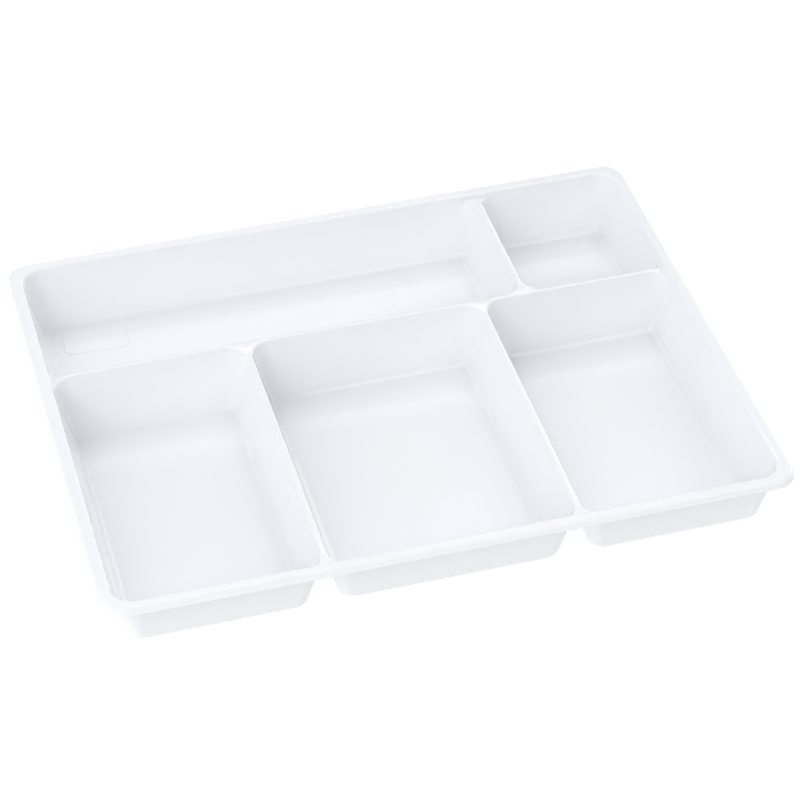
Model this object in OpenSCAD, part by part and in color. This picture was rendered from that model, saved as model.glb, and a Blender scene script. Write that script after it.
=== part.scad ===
// Drawer organizer tray: one moulded white plastic sheet with five bins.
// Units are millimetres. +X runs along the long front edge, +Y towards the back, +Z up.
// The origin is the centre of the footprint, at the level the bins stand on.
// Every node is one region of that single sheet. The regions meet face to face.

/* [Overall size] */
// Length of the rim along X
tray_w = 350; // [330:1:420]
// Depth of the rim along Y
tray_d = 284; // [270:1:340]
// Height from the underside of the bins to the top of the rim
tray_h = 36; // [28:0.5:40]
// Thickness of the plastic sheet
sheet_t = 1.5; // [1.2:0.1:2]

/* [Rim] */
// Width of the rim from its outer edge to the opening
rim_w = 7; // [6.5:0.1:10]
// Outer corner radius of the rim seen from above
rim_corner_r = 12; // [8:0.5:18]
// Height of the turned-down outer edge
skirt_h = 4; // [3.5:0.1:6]
// Radius of the rounded outer top edge
rim_edge_r = 2.2; // [2:0.1:2.4]
// Outward lean of the turned-down edge per millimetre of height
skirt_lean = 0.12; // [0.02:0.01:0.2]
// Radius of the rounded edge around the opening
mouth_edge_r = 1.6; // [1:0.1:2]

/* [Bins] */
// Inward slope of every bin wall per millimetre of depth
wall_slope = 0.26; // [0.2:0.01:0.28]
// Corner radius of the bins at rim level
bin_corner_r = 15.2; // [15:0.1:18]
// Largest radius between the bin floors and the walls
floor_fillet_r = 4; // [2:0.1:5]

/* [Dividers] */
// Drop from the top of the rim to the top of the dividers
divider_drop = 0.4; // [0.3:0.1:1]
// How much lower the dividers are where they meet the outer walls
divider_dip = 2.8; // [2:0.1:3.2]
// Distance from the outer walls at which the dividers reach their full height
dip_run = 15; // [13.5:0.5:20]
// Half of the gap between neighbouring bin walls where the divider top joins them
divider_gap = 0.75; // [0.2:0.05:1]
// Largest radius of the rounded divider edges
divider_edge_r = 0.9; // [0.2:0.05:1.2]
// Y position of the divider between the back row and the front row
cross_y = 41.5; // [30:0.5:55]
// X position of the divider between the long bin and the small bin
rear_x = 88.8; // [70:0.5:100]
// X position of the divider between the left and the middle front bins
left_x = -64.2; // [-80:0.1:-55]
// X position of the divider between the middle and the right front bins
right_x = 63.6; // [55:0.1:80]

/* [Label pad] */
// Length of the plain raised pad on the floor of the long bin
pad_l = 35; // [20:0.5:36]
// Depth of the raised pad
pad_d = 19; // [8:0.5:20]
// Height of the raised pad
pad_h = 0.5; // [0.3:0.1:1]
// Corner radius of the raised pad
pad_r = 3.5; // [1:0.5:4]
// X position of the middle of the pad
pad_x = -133.5; // [-134:0.5:-60]
// Y position of the middle of the pad
pad_y = 109.5; // [75:0.5:110]

/* [Hidden] */
$fn = 96;
rim_color = [0.90, 0.91, 0.93];
bin_color = [0.94, 0.95, 0.96];
// how far one shape reaches past another where they are joined or cut
lap = 1;
// enlarges each edge circle so that it crosses the flat faces instead of just touching them
edge_trim = 0.02;
// how much of a bin corner the spread end of a divider fills
spread_share = 0.8;
// wall angle from vertical and the factors that follow from it
wall_a = atan(wall_slope);
sheet_u = sheet_t / cos(wall_a);
round_k = (1 - sin(wall_a)) / cos(wall_a);
// height of the divider tops, of their ends at the outer walls, and of the joint above the tubs
web_z = tray_h - divider_drop;
end_z = web_z - divider_dip;
joint_z = end_z - sheet_t;
// half extents of the opening at rim level
mouth_x = tray_w / 2 - rim_w;
mouth_y = tray_d / 2 - rim_w;
// half width of a divider at the joint, and extrapolated up to rim level
div_half_joint = divider_gap + sheet_u;
div_half = div_half_joint - wall_slope * (tray_h - joint_z);
// edge radius of the dividers, kept smaller than half their width
crest_r = min(divider_edge_r, 0.8 * (div_half + wall_slope * divider_drop) / round_k);
// half width of the straight strip of the cross divider
strip_half = div_half_joint + 0.1;
// half width of the spread ends of the dividers
spread_half = div_half + spread_share * bin_corner_r;
// inset of the line where the flat rim turns into the rounded outer edge
lean_a = atan(skirt_lean);
turn_in = rim_edge_r * cos(lean_a) + skirt_lean * (skirt_h - rim_edge_r * (1 - sin(lean_a)));
// radii along the inside and the outside of the floor edge, kept smaller than the bin corners;
// the outside is rounder, so the stretched sheet is thinner there
floor_r = min(floor_fillet_r, 0.95 * wall_u(sheet_t) / round_k);
base_r = min(floor_r + 2.6 * sheet_t, 0.97 * (wall_u(0) + sheet_u) / round_k);

// outlines at rim level, as [low x, high x, low y, high y]
tray_box = [-tray_w / 2, tray_w / 2, -tray_d / 2, tray_d / 2];
mouth_box = [-mouth_x, mouth_x, -mouth_y, mouth_y];
pen_box = [-mouth_x, rear_x - div_half, cross_y + div_half, mouth_y];
small_box = [rear_x + div_half, mouth_x, cross_y + div_half, mouth_y];
left_box = [-mouth_x, left_x - div_half, -mouth_y, cross_y - div_half];
centre_box = [left_x + div_half, right_x - div_half, -mouth_y, cross_y - div_half];
right_box = [right_x + div_half, mouth_x, -mouth_y, cross_y - div_half];

// distance from the corner axis to the inside wall of a bin at height z
function wall_u(z) = bin_corner_r - wall_slope * (tray_h - z);

// sweeps a section around the outline b; the section's x starts at the corner axis
module around(b, r) {
    span_x = b[1] - b[0] - 2 * r;
    span_y = b[3] - b[2] - 2 * r;
    translate([b[1] - r, b[3] - r, 0]) quarter_turn(0, span_y) children();
    translate([b[0] + r, b[3] - r, 0]) quarter_turn(90, span_x) children();
    translate([b[0] + r, b[2] + r, 0]) quarter_turn(180, span_y) children();
    translate([b[1] - r, b[2] + r, 0]) quarter_turn(270, span_x) children();
}

// one round corner of the sweep and the straight side that leads up to it
module quarter_turn(a, span) {
    rotate([0, 0, a]) rotate_extrude(angle = 90) children();
    rotate([90, 0, a]) linear_extrude(height = span) children();
}

// block between the corner axes of the outline b
module core(b, z0, z1) {
    r = bin_corner_r;
    translate([b[0] + r, b[2] + r, z0]) cube([b[1] - b[0] - 2 * r, b[3] - b[2] - 2 * r, z1 - z0]);
}

// rectangle with round corners centred on the origin
module rounded_plan(w, d, r) {
    square([w - 2 * r, d], center = true);
    square([w, d - 2 * r], center = true);
    for (sx = [-1, 1], sy = [-1, 1])
        translate([sx * (w / 2 - r), sy * (d / 2 - r)]) circle(r = r);
}

// section of a drafted tub: wall moved out by du, floor at zf with edge radius r, top at z1
module tub_section(du, zf, r, z1) {
    u0 = wall_u(zf) + du;
    cu = u0 - r * round_k;
    tangent = [cu + r * cos(wall_a), zf + r * (1 - sin(wall_a))];
    difference() {
        polygon([[0, zf], [u0, zf], [wall_u(z1) + du, z1], [0, z1]]);
        difference() {
            polygon([[cu, zf - lap], [u0 + lap, zf - lap], [u0 + lap, zf], tangent, [cu, zf + r]]);
            translate([cu, zf + r]) circle(r = r + edge_trim);
        }
    }
}

// section of the sheet that forms one tub
module tub_sheet_section() {
    difference() {
        tub_section(sheet_u, 0, base_r, joint_z);
        tub_section(0, sheet_t, floor_r, joint_z + lap);
    }
}

// one complete tub up to the joint below the rim
module tub(b) {
    color(bin_color) union() {
        around(b, bin_corner_r) tub_sheet_section();
        core(b, 0, sheet_t);
    }
}

// section of the free space of a bin at divider level, flared by the rounded divider edge
module mouth_section() {
    r = crest_r;
    low = joint_z - lap;
    high = web_z + lap;
    uw = wall_u(web_z);
    cu = uw + r * round_k;
    cz = web_z - r;
    tangent = [cu - r * cos(wall_a), cz + r * sin(wall_a)];
    polygon([[0, low], [wall_u(low), low], [uw, web_z], [uw, high], [0, high]]);
    difference() {
        polygon([tangent, [cu, cz], [cu, high], [tangent[0], high]]);
        translate([cu, cz]) circle(r = r + edge_trim);
    }
}

// free space of one bin at divider level
module mouth(b) {
    around(b, bin_corner_r) mouth_section();
    core(b, joint_z - lap, web_z + lap);
}

// height of a divider at the distance d from where the outer wall meets the rim
function crest_z(d) = web_z - divider_dip * pow(max(0, dip_run - d) / (dip_run - wall_in(end_z)), 2);

// how far a wall has moved inwards at height z
function wall_in(z) = wall_slope * (tray_h - z);

// side view of a divider from x0 to x1 at rim level; an end that is 1 meets the outer wall
module web_section(x0, x1, end0, end1) {
    steps = 4;
    d0 = wall_in(end_z);
    dips = [for (k = [0:steps]) d0 + (dip_run - d0) * k / steps];
    low0 = x0 + end0 * wall_in(joint_z);
    low1 = x1 - end1 * wall_in(joint_z);
    top0 = end0 == 1 ? [for (k = [0:steps]) [x0 + dips[k], crest_z(dips[k])]] : [[x0, web_z]];
    top1 = end1 == 1 ? [for (k = [0:steps]) [x1 - dips[steps - k], crest_z(dips[steps - k])]]
        : [[x1, web_z]];
    polygon(concat([[low1, joint_z], [low0, joint_z]], top0, top1));
}

// plate at divider level: the section between x = a and x = b, with the given half width
module web_plate(x0, x1, end0, end1, half, a, b) {
    translate([0, half, 0]) rotate([90, 0, 0]) linear_extrude(height = 2 * half)
        intersection() {
            web_section(x0, x1, end0, end1);
            translate([a, joint_z - lap]) square([b - a, tray_h]);
        }
}

// flat top of the rim
module rim_plate() {
    r = bin_corner_r + lap;
    translate([0, 0, tray_h - sheet_t]) linear_extrude(height = sheet_t) difference() {
        rounded_plan(tray_w - 2 * turn_in, tray_d - 2 * turn_in, rim_corner_r - turn_in);
        rounded_plan(2 * (mouth_x + lap), 2 * (mouth_y + lap), r);
    }
}

// section of the wall between the tubs and the rim, with the rounded edge of the opening
module upper_wall_section() {
    r = mouth_edge_r;
    low = tray_h - sheet_t;
    cu = bin_corner_r + r * round_k;
    cz = tray_h - r;
    tangent = [cu - r * cos(wall_a), cz + r * sin(wall_a)];
    u_lap = cu + lap;
    difference() {
        polygon([[wall_u(joint_z), joint_z], [wall_u(joint_z) + sheet_u, joint_z],
            [wall_u(low) + sheet_u, low], [u_lap, low], [u_lap, tray_h], [bin_corner_r, tray_h]]);
        difference() {
            polygon([tangent, [cu, cz], [cu, tray_h + lap], [tangent[0] - lap, tray_h + lap],
                [tangent[0] - lap, tangent[1]]]);
            translate([cu, cz]) circle(r = r + edge_trim);
        }
    }
}

// flat rim and the ring of wall that hangs from it down to the tubs
module rim_flange() {
    color(rim_color) union() {
        rim_plate();
        around(mouth_box, bin_corner_r) upper_wall_section();
    }
}

// solid section of the rounded, turned-down edge with outer radius r, from u1 outwards
module skirt_section(u1, r, bottom) {
    cz = tray_h - rim_edge_r;
    tangent = [u1 + r * cos(lean_a), cz + r * sin(lean_a)];
    intersection() {
        translate([u1, cz]) circle(r = r);
        translate([u1, cz]) square(r + lap);
    }
    polygon([[u1, cz], tangent, [tangent[0] + skirt_lean * (tangent[1] - bottom), bottom],
        [u1, bottom]]);
}

// rounded outer edge of the rim and the short turned-down skirt
module rim_skirt() {
    u1 = rim_corner_r - turn_in;
    bottom = tray_h - skirt_h;
    color(rim_color) around(tray_box, rim_corner_r) difference() {
        skirt_section(u1, rim_edge_r, bottom);
        skirt_section(u1, rim_edge_r - sheet_t, bottom - lap);
    }
}

// long bin at the back left
module pen_bin_shell() {
    tub(pen_box);
}

// small bin at the back right
module small_bin_shell() {
    tub(small_box);
}

// front bin on the left
module left_bin_shell() {
    tub(left_box);
}

// front bin in the middle, the widest of the three
module centre_bin_shell() {
    tub(centre_box);
}

// front bin on the right
module right_bin_shell() {
    tub(right_box);
}

// divider top between the back row and the front row, with spread ends at both walls
module cross_divider() {
    color(rim_color) difference() {
        translate([0, cross_y, 0]) union() {
            web_plate(-mouth_x, mouth_x, 1, 1, strip_half, -mouth_x, mouth_x);
            web_plate(-mouth_x, mouth_x, 1, 1, spread_half, -mouth_x, -mouth_x + spread_half);
            web_plate(-mouth_x, mouth_x, 1, 1, spread_half, mouth_x - spread_half, mouth_x);
        }
        mouth(pen_box);
        mouth(small_box);
        mouth(left_box);
        mouth(centre_box);
        mouth(right_box);
    }
}

// divider top between the long bin and the small bin
module rear_divider() {
    color(rim_color) difference() {
        translate([rear_x, 0, 0]) rotate([0, 0, 90])
            web_plate(cross_y + strip_half, mouth_y, 0, 1, spread_half, 0, mouth_y);
        mouth(pen_box);
        mouth(small_box);
    }
}

// divider top at x between two of the front bins
module front_divider(x, box_a, box_b) {
    color(rim_color) difference() {
        translate([x, 0, 0]) rotate([0, 0, 90])
            web_plate(-mouth_y, cross_y - strip_half, 1, 0, spread_half, -mouth_y, tray_d);
        mouth(box_a);
        mouth(box_b);
    }
}

// divider top between the left and the middle front bins
module left_divider() {
    front_divider(left_x, left_box, centre_box);
}

// divider top between the middle and the right front bins
module right_divider() {
    front_divider(right_x, centre_box, right_box);
}

// plain raised pad on the floor of the long bin
module label_pad() {
    color(rim_color) translate([pad_x, pad_y, sheet_t])
        linear_extrude(height = pad_h) rounded_plan(pad_l, pad_d, pad_r);
}

rim_flange();
rim_skirt();
pen_bin_shell();
small_bin_shell();
left_bin_shell();
centre_bin_shell();
right_bin_shell();
cross_divider();
rear_divider();
left_divider();
right_divider();
label_pad();
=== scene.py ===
"""Drawer organizer tray. Lengths are millimetres until a mesh is made."""

import math

import bpy
import numpy as np
from mathutils import Matrix, Vector
from mathutils.geometry import delaunay_2d_cdt


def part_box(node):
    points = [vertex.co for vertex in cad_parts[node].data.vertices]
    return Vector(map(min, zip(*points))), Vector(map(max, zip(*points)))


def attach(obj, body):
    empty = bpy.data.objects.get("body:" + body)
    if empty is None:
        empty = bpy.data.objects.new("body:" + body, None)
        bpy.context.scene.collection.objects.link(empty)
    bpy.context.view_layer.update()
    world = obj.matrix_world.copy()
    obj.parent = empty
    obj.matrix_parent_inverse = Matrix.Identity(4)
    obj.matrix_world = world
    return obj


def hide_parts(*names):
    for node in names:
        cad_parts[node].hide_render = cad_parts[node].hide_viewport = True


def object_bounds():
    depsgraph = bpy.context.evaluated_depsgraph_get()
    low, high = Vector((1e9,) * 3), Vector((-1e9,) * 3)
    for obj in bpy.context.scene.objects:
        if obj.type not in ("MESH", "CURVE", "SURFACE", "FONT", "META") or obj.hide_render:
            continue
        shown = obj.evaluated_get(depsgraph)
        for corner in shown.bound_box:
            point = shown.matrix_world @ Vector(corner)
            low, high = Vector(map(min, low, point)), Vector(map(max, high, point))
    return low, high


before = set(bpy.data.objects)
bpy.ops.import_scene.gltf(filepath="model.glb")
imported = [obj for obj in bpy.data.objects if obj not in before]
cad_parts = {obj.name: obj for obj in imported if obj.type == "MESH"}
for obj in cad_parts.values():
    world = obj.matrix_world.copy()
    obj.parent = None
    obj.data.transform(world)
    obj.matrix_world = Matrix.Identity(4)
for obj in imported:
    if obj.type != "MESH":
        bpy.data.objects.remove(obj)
cad_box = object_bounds()
MM = 0.001

# ---------------------------------------------------------------- sizes, as in the CAD source
SHEET = 1.5  # thickness of the plastic
SLOPE = 0.26  # inward slope of the walls per millimetre of depth
CORNER_R = 15.2  # corner radius of the CAD bins at rim level, which places their walls
FLOOR_R = 4.0  # inside edge radius of the floors
BASE_R = 7.9  # outside edge radius of the undersides
WEB_DROP = 0.4  # dividers below the rim
WEB_DIP = 2.8  # how much lower the dividers are at the outer walls
DIP_RUN = 15.0  # distance from the walls at which they reach their full height
CREST_R = 0.9  # rounded edges of the dividers
MOUTH_R = 1.6  # rounded edge between the walls and the rim
RIM_R = 12.0  # corner radius of the rim
EDGE_R = 2.2  # rounded outer edge of the rim
SKIRT_H = 4.0  # height of the turned-down outer edge
SKIRT_LEAN = 0.12  # how far the skirt leans outwards per millimetre of height
# sizes only the looks have
TRAY_CORNER_R = 12.0  # corner radius of the opening in the rim
WALL_CORNER_R = 8.0  # corner radius of the bins where a divider meets an outer wall
INNER_CORNER_R = 11.0  # corner radius of the bins between two dividers
LOW_CORNER_R = 5.0  # corner radius of all bins at floor level
LAND_R = 1.2  # fillet between the ends of the dividers and the wall above them
UNDER_R = 0.8  # fillet between the walls and the underside of the rim
GROOVE_R = 0.22  # fillet at the top of the channels under the dividers
WEB_EDGE_R = 1.0  # rounded lower edge of the dividers where they end at the walls
SEAM_DROP = 0.9  # how far the joint between a bin and the rim slants down to the outside
CREST_BLEND = 1.5  # height of wall over which the rounded divider edges fade in
GROOVE_BLEND = 1.0  # the same for the channels under the dividers
PAD_R = 3.5  # corner radius of the pad
PAD_EDGE_R = 0.35  # rounded top edge of the pad
PAD_SINK = 0.2  # how deep the pad sits in the floor
# fineness of the meshes
ARC = 24  # segments in a quarter of a corner
BIN_STEP = 6.0  # spacing along the sides of a bin
BIN_FINE, BIN_RUN = 1.4, 14.0  # finer spacing, over this distance from both ends
RING_STEP = 2.5  # spacing along the sides of the rim
PAD_STEP = 4.0
SLOPE_STEP = 0.004  # step for the slope of a height

TOP = cad_box[1].z / MM
WALL_A = math.atan(SLOPE)
K = (1 - math.sin(WALL_A)) / math.cos(WALL_A)
SHEET_U = SHEET / math.cos(WALL_A)
WEB_Z = TOP - WEB_DROP
END_Z = WEB_Z - WEB_DIP
JOINT_Z = END_Z - SHEET
WALL_C = SLOPE / math.hypot(1, SLOPE)
BINS = ("pen_bin_shell", "small_bin_shell", "left_bin_shell", "centre_bin_shell", "right_bin_shell")


def wall_u(z, off=0.0):
    """Distance of a wall from its corner axis at height z."""
    return CORNER_R + off - SLOPE * (TOP - z)


def wall_z(u, off=0.0):
    """Height of a wall at the distance u from its corner axis."""
    return TOP - (CORNER_R + off - u) / SLOPE


def basin(u, off, floor, r):
    """Height of a floor that turns up into a wall with the radius r."""
    cu = wall_u(floor, off) - r * K
    arc = floor + r - np.sqrt(np.maximum(r * r - (u - cu) ** 2, 0))
    return np.where(u <= cu, floor, np.where(u < cu + r * math.cos(WALL_A), arc, wall_z(u, off)))


def brow(u, off, top, r):
    """Height of a wall that turns out into a flat top with the radius r."""
    cu = wall_u(top, off) + r * K
    arc = top - r + np.sqrt(np.maximum(r * r - (u - cu) ** 2, 0))
    return np.where(u >= cu, top, np.where(u > cu - r * math.cos(WALL_A), arc, wall_z(u, off)))


def rounded_min(za, ca, zb, cb, r):
    """The lower of two surfaces, with the edge between them rounded.

    ca and cb are the cosines of their tilts."""
    r = np.maximum(r, 1e-6)
    pa, pb = r - ca * za, r - cb * zb
    q2, q1, q0 = ca * ca + cb * cb, pa * ca + pb * cb, pa * pa + pb * pb - r * r
    disc = q1 * q1 - q2 * q0
    z = (-q1 + np.sqrt(np.maximum(disc, 0))) / q2
    inside = (disc >= 0) & (ca * (za - z) < r) & (cb * (zb - z) < r)
    return np.where(inside, z, np.minimum(za, zb))


def smooth(t):
    """A soft step from 0 to 1."""
    t = np.clip(t, 0, 1)
    return t * t * (3 - 2 * t)


def narrowing(radii):
    """How much each corner radius shrinks per millimetre the outline moves inwards."""
    return (np.asarray(radii, float) - LOW_CORNER_R) / (SLOPE * (TOP - SHEET))


def wall_field(xy, box, radii, u0, narrow):
    """For points in plan, the u whose outline passes through them.

    The outline at u is the box moved inwards by s = u0 - u, with corner radii of r - k * s."""
    low_x, low_y = xy[:, 0] - box[0], xy[:, 1] - box[2]
    high_x, high_y = box[1] - xy[:, 0], box[3] - xy[:, 1]
    left, front = low_x < high_x, low_y < high_y

    def pick(v):
        return np.where(front, np.where(left, v[0], v[1]), np.where(left, v[3], v[2]))

    r, k = pick(radii), pick(narrow)
    sx, sy = np.minimum(low_x, high_x), np.minimum(low_y, high_y)
    dx, dy, m = r - sx, r - sy, 1 - k
    a, b, c = 2 * m * m - k * k, m * (dx + dy) + r * k, dx * dx + dy * dy - r * r
    root = np.sqrt(np.maximum(b * b - a * c, 0))
    s = -c / np.where(b + root > 1e-9, b + root, 1e-9)
    inside = (b + root > 1e-9) & (dx + m * s > 0) & (dy + m * s > 0)
    return u0 - np.where(inside, s, np.minimum(sx, sy))


# ---------------------------------------------------------------- where the CAD model puts things
tray = [cad_box[0].x / MM, cad_box[1].x / MM, cad_box[0].y / MM, cad_box[1].y / MM]
tray = [round(v, 3) for v in tray]


def inset(box, d):
    """A box in plan, x0 x1 y0 y1, with each side moved inwards by d."""
    return [box[0] + d, box[1] - d, box[2] + d, box[3] - d]


def bin_core(node):
    """The corner axes of a bin, from the box of its CAD node, which ends at the joint under the rim."""
    lo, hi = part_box(node)
    box = [lo.x / MM, hi.x / MM, lo.y / MM, hi.y / MM]
    return [round(v, 2) for v in inset(box, wall_u(JOINT_Z, SHEET_U))]


boxes = {n: inset(bin_core(n), -CORNER_R) for n in BINS}
mouth = [
    min(b[0] for b in boxes.values()),
    max(b[1] for b in boxes.values()),
    min(b[2] for b in boxes.values()),
    max(b[3] for b in boxes.values()),
]


def corner_radii(box):
    """Front left, front right, back right, back left."""
    on = [abs(v - m) < 0.05 for v, m in zip(box, mouth)]
    walls = [on[0] + on[2], on[1] + on[2], on[1] + on[3], on[0] + on[3]]
    return [(INNER_CORNER_R, WALL_CORNER_R, TRAY_CORNER_R)[n] for n in walls]


def grown(box, radii, off):
    """The box, radii, u0 and narrowing of an outline that is moved outwards by off."""
    return inset(box, -off), [r + off for r in radii], CORNER_R + off, narrowing(radii)


rounds = {n: corner_radii(b) for n, b in boxes.items()}


def bin_field(xy, n, off):
    """The u of points in plan, from the walls of one bin."""
    return wall_field(xy, *grown(boxes[n], rounds[n], off))


def mouth_field(xy, off):
    """The u of points in plan, from the walls of the whole tray."""
    return wall_field(xy, *grown(mouth, [TRAY_CORNER_R] * 4, off))


# ---------------------------------------------------------------- the two faces of the sheet as heights
def tilt(f, u):
    """Cosine of the tilt of the height f at u."""
    h = 1e-3
    d = (f(u + h) - f(u - h)) / (2 * h)
    return 1 / np.sqrt(1 + d * d)


def web(u):
    """Height of the divider tops, lower towards the outer walls."""
    d0 = SLOPE * (TOP - END_Z)
    fall = np.clip((DIP_RUN - (CORNER_R - u)) / (DIP_RUN - d0), 0, 1)
    return WEB_Z - WEB_DIP * fall**2


def rim_top(u):
    """Height of the top face outside the bins: dividers, wall and rim."""
    low = -rounded_min(-web(u), tilt(web, u), -wall_z(u), WALL_C, LAND_R)
    return np.where(u < wall_u(END_Z + 1.9), low, brow(u, 0, TOP, MOUTH_R))


def rim_under(u):
    """Height of the underside outside the bins."""
    low = basin(u, SHEET_U, JOINT_Z, WEB_EDGE_R)
    return np.where(u < wall_u(JOINT_Z + 1.7, SHEET_U), low, brow(u, SHEET_U, TOP - SHEET, UNDER_R))


def face_height(xy, rim, off, floor, floor_r, edge_r, blend):
    """Height of one face of the sheet: the rim and dividers, cut away by every bin."""
    um = mouth_field(xy, off)
    cover, cc = rim(um), tilt(rim, um)
    r = edge_r * smooth((cover - wall_z(um, off)) / blend)
    z = cover
    for n in BINS:
        u = bin_field(xy, n, off)
        z = np.minimum(z, rounded_min(basin(u, off, floor, floor_r), WALL_C, cover, cc, r))
    return z


def top_height(xy):
    return face_height(xy, rim_top, 0.0, SHEET, FLOOR_R, CREST_R, CREST_BLEND)


def under_height(xy):
    return face_height(xy, rim_under, SHEET_U, 0.0, BASE_R, GROOVE_R, GROOVE_BLEND)


def slope_normals(xy, height, sign):
    """Unit normals of a height, from small steps. sign is 1 for the top face and -1 for the underside."""
    h = SLOPE_STEP
    ex, ey = np.array([h, 0.0]), np.array([0.0, h])
    gx = (height(xy + ex) - height(xy - ex)) / (2 * h)
    gy = (height(xy + ey) - height(xy - ey)) / (2 * h)
    n = np.stack([-gx, -gy, np.ones(len(xy))], 1)
    return sign * n / np.linalg.norm(n, axis=1, keepdims=True)


# ---------------------------------------------------------------- outlines and sweeps
def marks(length, step, fine=0.0, run=0.0):
    """Fractions along a side: every step, and every fine over a run at both ends."""
    if not fine:
        return list(np.linspace(0, 1, max(2, round(length / step) + 1)))
    n = round(run / fine)
    ends = [k * fine / length for k in range(n)]
    count = max(2, round((length - 2 * run) / step) + 1)
    middle = list(np.linspace(run / length, 1 - run / length, count))
    return ends + middle + [1 - e for e in reversed(ends)]


SIGNS = np.array([(-1, -1), (1, -1), (1, 1), (-1, 1)], float)


class Outline:
    """A rounded rectangle that grows with u, as base points and directions, anticlockwise.

    Its sides move by one per unit of u and its corner radii by narrow. slope holds the gradient of u,
    which is shorter in the corners unless narrow is 1."""

    def __init__(self, box, radii, u0, narrow, across, along):
        corner = np.array([(box[0], box[2]), (box[1], box[2]), (box[1], box[3]), (box[0], box[3])], float)
        r, k = np.array(radii, float), np.array(narrow, float)
        centre = corner - SIGNS * r[:, None]
        shift = -SIGNS * (1 - k)[:, None]
        rows = []

        def add(spot, move, slope):
            rows.append((*(spot + u0 * move), *(-move), *slope))

        for i in range(4):
            n = (i + 1) % 4
            way = np.array([(0, -1), (1, 0), (0, 1), (-1, 0)][i], float)
            ends = centre[i] + way * r[i], centre[n] + way * r[n]
            moves = shift[i] - way * k[i], shift[n] - way * k[n]
            for t in across if i % 2 == 0 else along:
                add(ends[0] + (ends[1] - ends[0]) * t, moves[0] + (moves[1] - moves[0]) * t, way)
            for j in range(1, ARC):
                a = math.radians(90 * (i - 1) + 90 * j / ARC)
                way = np.array([math.cos(a), math.sin(a)])
                slope = way / (np.abs(way).sum() * (1 - k[n]) + k[n])
                add(centre[n] + way * r[n], shift[n] - way * k[n], slope)
        data = np.array(rows, float)
        self.base, self.out, self.slope = data[:, :2], data[:, 2:4], data[:, 4:]
        self.across, self.along = across, along
        self.axes = centre + u0 * shift

    def at(self, u):
        return self.base + self.out * u


class Shell:
    """A mesh in the making: vertices, faces and a normal for each corner of each face."""

    def __init__(self):
        self.verts, self.faces, self.normals = [], [], []

    def add(self, xy, z):
        start = len(self.verts)
        z = np.broadcast_to(np.asarray(z, float), (len(xy),))
        self.verts += [(x, y, h) for (x, y), h in zip(xy, z)]
        return np.arange(start, start + len(xy))

    def face(self, ids, normals):
        keep = [i for i in range(len(ids)) if ids[i] != ids[i - 1]]
        if len(keep) > 2:
            self.faces.append([int(ids[i]) for i in keep])
            self.normals.append([tuple(normals[i]) for i in keep])

    def strip(self, inner, outer, n_in, n_out, up):
        """Quads between two closed loops of the same count; up says which way they face."""
        m = len(inner)
        for i in range(m):
            j = (i + 1) % m
            ids = [inner[i], outer[i], outer[j], inner[j]]
            ns = [n_in[i], n_out[i], n_out[j], n_in[j]]
            self.face(ids if up else ids[::-1], ns if up else ns[::-1])

    def sweep(self, line, profile, first, up=True):
        """Sweeps (u, z, normal u, normal z) rows round an outline. Returns the last loop and its normals."""
        before = first
        for u, z, nu, nz in profile:
            ns = np.column_stack([line.slope * nu, np.full(len(line.slope), nz)])
            ns /= np.linalg.norm(ns, axis=1, keepdims=True)
            loop = (self.add(line.at(u), z), ns)
            self.strip(before[0], loop[0], before[1], loop[1], up)
            before = loop
        return before

    def seam(self, a, b, flip):
        """The hidden wall between two loops, where one piece of the sheet meets the next."""
        m = len(a)
        p = np.array(self.verts)
        for i in range(m):
            j = (i + 1) % m
            ids = [a[i], a[j], b[j], b[i]]
            if flip:
                ids = ids[::-1]
            n = np.cross(p[ids[1]] - p[ids[0]], p[ids[2]] - p[ids[0]])
            n = n / np.linalg.norm(n)
            self.face(ids, [n] * 4)

    def make(self, name, material, nodes):
        """The finished piece, which stands in for the CAD nodes."""
        mesh = bpy.data.meshes.new(name)
        verts = np.array(self.verts) * MM
        mesh.from_pydata(verts.tolist(), [], self.faces)
        mesh.polygons.foreach_set("use_smooth", [True] * len(mesh.polygons))
        mesh.normals_split_custom_set([n for face in self.normals for n in face])
        mesh.materials.append(material)
        mesh.validate()
        piece = bpy.data.objects.new(name, mesh)
        bpy.context.scene.collection.objects.link(piece)
        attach(piece, "root")
        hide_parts(*nodes)
        return piece


def fillet_rows(cu, floor, r, count, side):
    """The rounded edge between a floor and a wall. side is 1 inside the bin and -1 on its underside."""
    rows = []
    for k in range(count + 1):
        a = (math.pi / 2 - WALL_A) * k / count
        rows.append(
            (cu + r * math.sin(a), floor + r * (1 - math.cos(a)), -side * math.sin(a), side * math.cos(a))
        )
    return rows


def bin_profile(off, floor, r, end, side, count):
    """From the edge of the flat floor up the fillet and the wall, to the height end."""
    cu = wall_u(floor, off) - r * K
    rows = fillet_rows(cu, floor, r, count, side)
    z0 = rows[-1][1]
    nu, nz = -side * math.cos(WALL_A), side * math.sin(WALL_A)
    steps = 5
    for k in range(1, steps + 1):
        z = z0 + (end - z0) * k / steps
        rows.append((wall_u(z, off), z, nu, nz))
    return rows


def bin_line(n, off):
    """The outline of a bin, for its top face or, moved outwards by off, its underside."""
    plan = boxes[n]
    across = marks(plan[1] - plan[0] - 2 * CORNER_R, BIN_STEP, BIN_FINE, BIN_RUN)
    along = marks(plan[3] - plan[2] - 2 * CORNER_R, BIN_STEP, BIN_FINE, BIN_RUN)
    return Outline(*grown(plan, rounds[n], off), across, along)


lines = {n: bin_line(n, 0.0) for n in BINS}
under_lines = {n: bin_line(n, SHEET_U) for n in BINS}
SEAM_TOP, SEAM_LOW = JOINT_Z, JOINT_Z - SEAM_DROP


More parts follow.
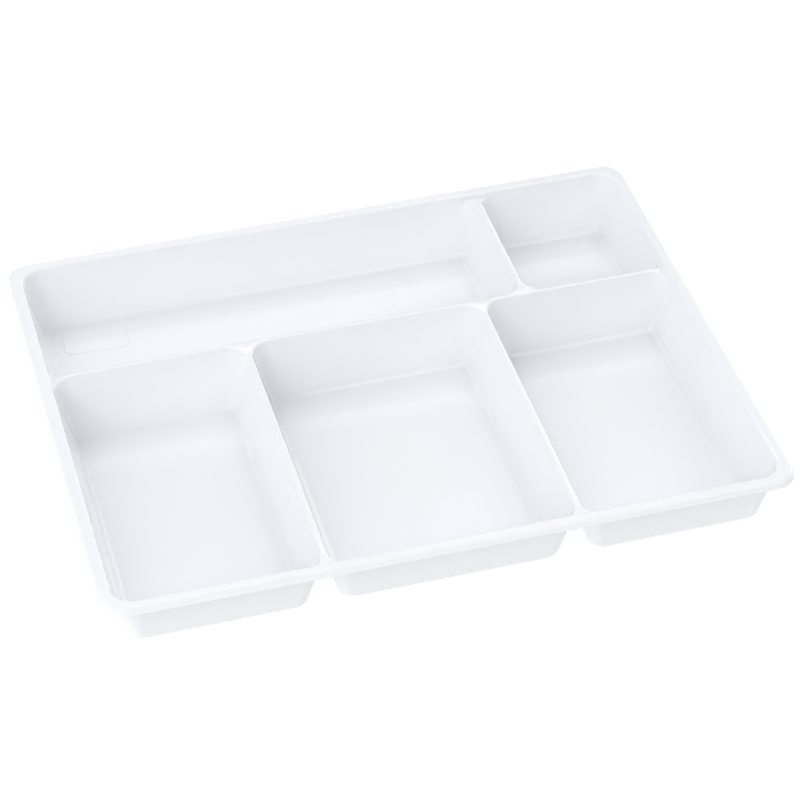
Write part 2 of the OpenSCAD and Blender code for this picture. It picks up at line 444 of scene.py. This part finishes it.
def floor_grid(shell, line, z, up):
    """The flat middle of a floor as a grid. Returns its edge as the sweep's first loop."""
    c = line.axes
    rows = []
    for v in line.along:
        a, b = c[0] + (c[3] - c[0]) * v, c[1] + (c[2] - c[1]) * v
        rows.append(shell.add([a + (b - a) * t for t in line.across], z))
    grid = np.array(rows)
    n = (0, 0, 1 if up else -1)
    for j in range(len(line.along) - 1):
        for i in range(len(line.across) - 1):
            ids = [grid[j, i], grid[j, i + 1], grid[j + 1, i + 1], grid[j + 1, i]]
            shell.face(ids if up else ids[::-1], [n] * 4)
    edge = list(grid[0]) + [grid[0, -1]] * (ARC - 1)
    edge += list(grid[:, -1]) + [grid[-1, -1]] * (ARC - 1)
    edge += list(grid[-1, ::-1]) + [grid[-1, 0]] * (ARC - 1)
    edge += list(grid[::-1, 0]) + [grid[0, 0]] * (ARC - 1)
    return np.array(edge), np.tile(np.array(n, float), (len(edge), 1))


def make_bin(node, material):
    """One bin below the joint under the rim: inside, underside and the joint's face."""
    shell, line = Shell(), lines[node]
    first = floor_grid(shell, line, SHEET, True)
    top = shell.sweep(line, bin_profile(0, SHEET, FLOOR_R, SEAM_TOP, 1, 14), first, True)
    line = under_lines[node]
    first = floor_grid(shell, line, 0.0, False)
    low = shell.sweep(line, bin_profile(SHEET_U, 0.0, BASE_R, SEAM_LOW, -1, 12), first, False)
    shell.seam(top[0], low[0], True)
    return shell.make(node.replace("_shell", ""), material, [node])


# ---------------------------------------------------------------- rim and dividers
class Plan:
    """Lines in plan view, for a triangulation that follows them."""

    def __init__(self):
        self.index, self.points, self.edges = {}, [], set()

    def add(self, xy, closed=True, keep=None):
        ids = []
        for k, p in enumerate(xy):
            if keep is not None and not keep[k]:
                ids.append(None)
                continue
            key = (round(p[0], 6), round(p[1], 6))
            if key not in self.index:
                self.index[key] = len(self.points)
                self.points.append(key)
            ids.append(self.index[key])
        pairs = list(zip(ids, ids[1:])) + ([(ids[-1], ids[0])] if closed else [])
        for a, b in pairs:
            if a is not None and b is not None and a != b:
                self.edges.add((min(a, b), max(a, b)))
        return ids

    def solve(self):
        """Points, triangles and where each given point ended up."""
        out = delaunay_2d_cdt([Vector(p) for p in self.points], sorted(self.edges), [], 0, 1e-5)
        xy = np.array([tuple(v) for v in out[0]])
        where = {}
        for k, given in enumerate(out[3]):
            for g in given:
                where[g] = k
        return xy, np.array([tuple(f) for f in out[2]]), where


RING_ACROSS = marks(mouth[1] - mouth[0], RING_STEP)
RING_ALONG = marks(mouth[3] - mouth[2], RING_STEP)
ring = Outline(*grown(mouth, [TRAY_CORNER_R] * 4, 0.0), RING_ACROSS, RING_ALONG)
under_ring = Outline(*grown(mouth, [TRAY_CORNER_R] * 4, SHEET_U), RING_ACROSS, RING_ALONG)


def blend_zone(shell, height, off, start, levels, ring_levels, land_levels, clear, end, up):
    """The part of one face between the bins' seams and the flat rim.

    Returns each bin's seam loop and the loop on the rim, with their normals."""
    plan = Plan()
    rims = under_ring if off else ring
    around = under_lines if off else lines
    seams = {n: plan.add(line.at(start)) for n, line in around.items()}
    for u in levels:
        for line in around.values():
            plan.add(line.at(u))
    for u in list(levels) + list(ring_levels):
        plan.add(rims.at(u))
    for u in land_levels:
        xy = rims.at(u)
        keep = np.all([bin_field(xy, n, off) > clear for n in BINS], axis=0)
        plan.add(xy, keep=keep)
    rim = plan.add(rims.at(end))
    xy, tris, where = plan.solve()
    mid = xy[tris].mean(axis=1)
    keep = np.all([bin_field(mid, n, off) > start for n in BINS], axis=0)
    tris = tris[keep]
    a, b, c = (xy[tris[:, k]] for k in range(3))
    turn = (b[:, 0] - a[:, 0]) * (c[:, 1] - a[:, 1]) - (b[:, 1] - a[:, 1]) * (c[:, 0] - a[:, 0])
    tris[turn < 0] = tris[turn < 0][:, ::-1]
    tris = tris[np.abs(turn) > 1e-12]
    used = np.unique(tris)
    slot_of = np.full(len(xy), -1)
    slot_of[used] = shell.add(xy[used], height(xy[used]))
    normals = np.zeros((len(xy), 3))
    normals[used] = slope_normals(xy[used], height, 1 if up else -1)
    for t in tris:
        t = t if up else t[::-1]
        shell.face([slot_of[k] for k in t], [normals[k] for k in t])

    def loop(ids):
        k = [where[i] for i in ids]
        return np.array([slot_of[i] for i in k]), normals[k]

    return {n: loop(ids) for n, ids in seams.items()}, loop(rim)


def tray_line():
    """The outer edge of the tray."""
    return Outline(tray, [RIM_R] * 4, RIM_R, [1.0] * 4, RING_ACROSS, RING_ALONG)


LEAN_A = math.atan(SKIRT_LEAN)
EDGE_Z = TOP - EDGE_R
SKIRT_Z = TOP - SKIRT_H
EDGE_DROP = EDGE_Z + EDGE_R * math.sin(LEAN_A) - SKIRT_Z
TURN_U = RIM_R - EDGE_R * math.cos(LEAN_A) - SKIRT_LEAN * EDGE_DROP


def skirt_profile():
    """From the flat rim over the outer edge, down the skirt, round its lip and back up inside."""
    rows = []
    count = 10
    for k in range(1, count + 1):
        a = math.pi / 2 + (LEAN_A - math.pi / 2) * k / count
        rows.append((TURN_U + EDGE_R * math.cos(a), EDGE_Z + EDGE_R * math.sin(a), math.cos(a), math.sin(a)))
    half = SHEET / 2
    ca, sa = math.cos(LEAN_A), math.sin(LEAN_A)
    zc = SKIRT_Z + half
    mid_r = EDGE_R - half
    uc = TURN_U + mid_r * ca + SKIRT_LEAN * (EDGE_Z + mid_r * sa - zc)
    for k in range(9):
        a = LEAN_A - math.pi * k / 8
        rows.append((uc + half * math.cos(a), zc + half * math.sin(a), math.cos(a), math.sin(a)))
    inner = EDGE_R - SHEET
    for k in range(6):
        a = LEAN_A + (math.pi / 2 - LEAN_A) * k / 5
        rows.append((TURN_U + inner * math.cos(a), EDGE_Z + inner * math.sin(a), -math.cos(a), -math.sin(a)))
    return rows


def make_rim(material):
    """The rim, the wall above the joint and the dividers as one piece, and the outer edge as another."""
    shell = Shell()
    flat_u = wall_u(WEB_Z) + CREST_R * K
    levels = list(np.linspace(wall_u(SEAM_TOP), wall_u(WEB_Z - 0.5), 13))[1:]
    levels += list(np.linspace(wall_u(WEB_Z - 0.5), flat_u, 9))[1:]
    mouth_end = wall_u(TOP) + MOUTH_R * K
    rounding = list(np.linspace(flat_u, mouth_end, 9))[1:]
    land_start, land_fine = 6.0, wall_u(END_Z) - 1.2
    lands = list(np.linspace(land_start, land_fine, 7))
    lands += list(np.linspace(land_fine, wall_u(END_Z), 7))[1:-1]
    margin = 0.3
    rim_u = mouth_end + margin
    seams, edge = blend_zone(
        shell, top_height, 0.0, wall_u(SEAM_TOP), levels, rounding, lands, flat_u + 0.04, rim_u, True
    )
    above_seam = (0.3, 0.5, 0.65, 0.8, 0.9, 1.0, 1.15, 1.35)  # heights of loops, closest at the channels
    low_levels = [wall_u(SEAM_LOW + h, SHEET_U) for h in above_seam]
    under_end = wall_u(TOP - SHEET, SHEET_U) + UNDER_R * K
    low_ring = list(np.linspace(low_levels[-1], under_end, 14))[1:]
    low_lands = np.linspace(wall_u(JOINT_Z, SHEET_U) - WEB_EDGE_R * K, wall_u(JOINT_Z, SHEET_U), 5)[:-1]
    low_u = under_end + margin
    low_seams, low_edge = blend_zone(
        shell, under_height, SHEET_U, wall_u(SEAM_LOW, SHEET_U), low_levels, low_ring, low_lands,
        low_levels[-1] + 0.1, low_u, False,
    )
    for n in BINS:
        shell.seam(seams[n][0], low_seams[n][0], False)
    outer = tray_line()
    flat_up = np.tile([0.0, 0.0, 1.0], (len(outer.base), 1))
    turn = shell.add(outer.at(TURN_U), TOP)
    mid = shell.add((outer.at(TURN_U) + ring.at(rim_u)) / 2, TOP)
    shell.strip(edge[0], mid, edge[1], flat_up, True)
    shell.strip(mid, turn, flat_up, flat_up, True)
    low_turn = shell.add(outer.at(TURN_U), TOP - SHEET)
    shell.strip(low_edge[0], low_turn, low_edge[1], -flat_up, False)
    shell.seam(turn, low_turn, True)
    nodes = ["rim_flange", "cross_divider", "rear_divider", "left_divider", "right_divider"]
    shell.make("rim_and_divider_tops", material, nodes)
    skirt = Shell()
    first = (skirt.add(outer.at(TURN_U), TOP), flat_up)
    last = skirt.sweep(outer, skirt_profile(), first, True)
    skirt.seam(first[0], last[0], False)
    skirt.make("outer_edge", material, ["rim_skirt"])


def make_pad(material):
    """The plain pad on the floor of the long bin, with a soft edge."""
    lo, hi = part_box("label_pad")
    x0, x1, y0, y1, z1 = (v / MM for v in (lo.x, hi.x, lo.y, hi.y, hi.z))
    r, edge = PAD_R, PAD_EDGE_R
    across, along = marks(x1 - x0, PAD_STEP), marks(y1 - y0, PAD_STEP)
    line = Outline([x0, x1, y0, y1], [r] * 4, r, [1.0] * 4, across, along)
    shell = Shell()
    first = floor_grid(shell, line, z1, True)
    rows = []
    for k in range(7):
        a = math.pi / 2 * (1 - k / 6)
        rows.append((r - edge + edge * math.cos(a), z1 - edge + edge * math.sin(a), math.cos(a), math.sin(a)))
    foot = SHEET - PAD_SINK
    rows.append((r, foot, 1.0, 0.0))
    last = shell.sweep(line, rows, first, True)
    low = floor_grid(shell, line, foot, False)
    shell.strip(low[0], last[0], low[1], low[1], False)
    return shell.make("label_pad_plate", material, ["label_pad"])


# ---------------------------------------------------------------- materials
def white_plastic():
    """Smooth gloss plastic with a slight unevenness of colour, polish and surface."""
    m = bpy.data.materials.new("white_plastic_moulded")
    m.use_nodes = True
    nt = m.node_tree
    nodes, link = nt.nodes, nt.links.new
    bsdf = nodes["Principled BSDF"]
    bsdf.inputs["IOR"].default_value = 1.5
    bsdf.inputs["Specular IOR Level"].default_value = 0.5
    where = nodes.new("ShaderNodeTexCoord")

    def noise(scale, detail):
        n = nodes.new("ShaderNodeTexNoise")
        n.inputs["Scale"].default_value = scale
        n.inputs["Detail"].default_value = detail
        link(where.outputs["Object"], n.inputs["Vector"])
        return n

    cloud = noise(14.0, 3.0)
    tint = nodes.new("ShaderNodeValToRGB")
    tint.color_ramp.elements[0].color = (0.877, 0.895, 0.926, 1)
    tint.color_ramp.elements[1].color = (0.899, 0.915, 0.943, 1)
    link(cloud.outputs["Fac"], tint.inputs["Fac"])
    link(tint.outputs["Color"], bsdf.inputs["Base Color"])
    wear = noise(60.0, 4.0)
    rough = nodes.new("ShaderNodeMapRange")
    rough.inputs["To Min"].default_value = 0.05
    rough.inputs["To Max"].default_value = 0.09
    link(wear.outputs["Fac"], rough.inputs["Value"])
    link(rough.outputs["Result"], bsdf.inputs["Roughness"])
    grain = noise(900.0, 2.0)
    swell = noise(35.0, 1.0)
    bump = nodes.new("ShaderNodeBump")
    bump.inputs["Strength"].default_value = 0.05
    bump.inputs["Distance"].default_value = 0.00005
    link(grain.outputs["Fac"], bump.inputs["Height"])
    wave = nodes.new("ShaderNodeBump")
    wave.inputs["Strength"].default_value = 0.2
    wave.inputs["Distance"].default_value = 0.0005
    link(swell.outputs["Fac"], wave.inputs["Height"])
    link(wave.outputs["Normal"], bump.inputs["Normal"])
    link(bump.outputs["Normal"], bsdf.inputs["Normal"])
    return m


def floor_material():
    """A pale floor that glows slightly, as white paper lit from below and behind does."""
    m = bpy.data.materials.new("studio_floor")
    m.use_nodes = True
    bsdf = m.node_tree.nodes["Principled BSDF"]
    bsdf.inputs["Base Color"].default_value = (0.12, 0.12, 0.12, 1)
    bsdf.inputs["Roughness"].default_value = 0.9
    bsdf.inputs["Emission Color"].default_value = (1, 1, 1, 1)
    bsdf.inputs["Emission Strength"].default_value = 0.9
    return m


plastic = white_plastic()
for node in BINS:
    make_bin(node, plastic)
make_rim(plastic)
make_pad(plastic)

# ---------------------------------------------------------------- studio
scene = bpy.context.scene
scene.view_settings.view_transform = "Standard"
scene.view_settings.look = "None"

HALF_FLOOR = 4.0  # metres, as are all lengths from here on
FLOOR_GAP = 0.0003  # keeps the floor clear of the undersides
floor_corners = [(HALF_FLOOR * x, HALF_FLOOR * y, 0) for x, y in SIGNS.tolist()]
floor_mesh = bpy.data.meshes.new("studio_floor")
floor_mesh.from_pydata(floor_corners, [], [(0, 1, 2, 3)])
floor_mesh.materials.append(floor_material())
floor = bpy.data.objects.new("studio_floor", floor_mesh)
floor.location.z = -FLOOR_GAP
scene.collection.objects.link(floor)

world = bpy.data.worlds.new("studio")
world.use_nodes = True
world.node_tree.nodes["Background"].inputs["Color"].default_value = (0.97, 0.98, 1.0, 1)
world.node_tree.nodes["Background"].inputs["Strength"].default_value = 0.05
scene.world = world


LAMP_DISTANCE = 2.0
STRIP = (1.6, 0.16)


def soft_box(name, around, height, power, size=(1.5, 1.5)):
    """A soft light that faces the tray. around is in degrees from +X, height in degrees."""
    a, e = math.radians(around), math.radians(height)
    way = Vector((math.cos(a) * math.cos(e), math.sin(a) * math.cos(e), math.sin(e)))
    data = bpy.data.lights.new(name, "AREA")
    data.shape = "ELLIPSE" if size[0] == size[1] else "RECTANGLE"
    data.size, data.size_y = size
    data.energy = power
    light = bpy.data.objects.new(name, data)
    light.location = way * LAMP_DISTANCE
    light.rotation_euler = (-way).to_track_quat("-Z", "Y").to_euler()
    scene.collection.objects.link(light)


soft_box("left_front_high", 225, 50, 15)
soft_box("left_front_low", 225, 20, 8)
soft_box("left_low", 180, 20, 9)
soft_box("left_back_low", 135, 20, 3)
soft_box("front_high", 270, 50, 3)
soft_box("right_front_high", 315, 50, 10)
soft_box("right_low", 0, 20, 7)
soft_box("right_back_low", 45, 20, 12)
soft_box("right_back_high", 45, 50, 2)
soft_box("back_low", 90, 20, 2)
soft_box("back_high", 90, 50, 2)
soft_box("back_strip", 85, 50, 4, STRIP)
soft_box("upper_strip", 85, 60, 3, STRIP)

# the camera: where it looks, from which side, how high, its roll and its focal length
TARGET = Vector((0.012073, 0.015066, 0.0))
AZIMUTH, ELEVATION, ROLL = (math.radians(v) for v in (-14.52, 39.529, -1.164))
DISTANCE, LENS = 1.53593, 130.6
back = Vector(
    (
        math.sin(AZIMUTH) * math.cos(ELEVATION),
        -math.cos(AZIMUTH) * math.cos(ELEVATION),
        math.sin(ELEVATION),
    )
)
side = Vector((math.cos(AZIMUTH), math.sin(AZIMUTH), 0.0))
rise = back.cross(side)
right = math.cos(ROLL) * side + math.sin(ROLL) * rise
up = -math.sin(ROLL) * side + math.cos(ROLL) * rise
camera_data = bpy.data.cameras.new("camera")
camera_data.lens, camera_data.sensor_width = LENS, 36.0
camera = bpy.data.objects.new("camera", camera_data)
spot = TARGET + back * DISTANCE
camera.matrix_world = Matrix(
    [
        (right.x, up.x, back.x, spot.x),
        (right.y, up.y, back.y, spot.y),
        (right.z, up.z, back.z, spot.z),
        (0, 0, 0, 1),
    ]
)
scene.collection.objects.link(camera)
scene.camera = camera
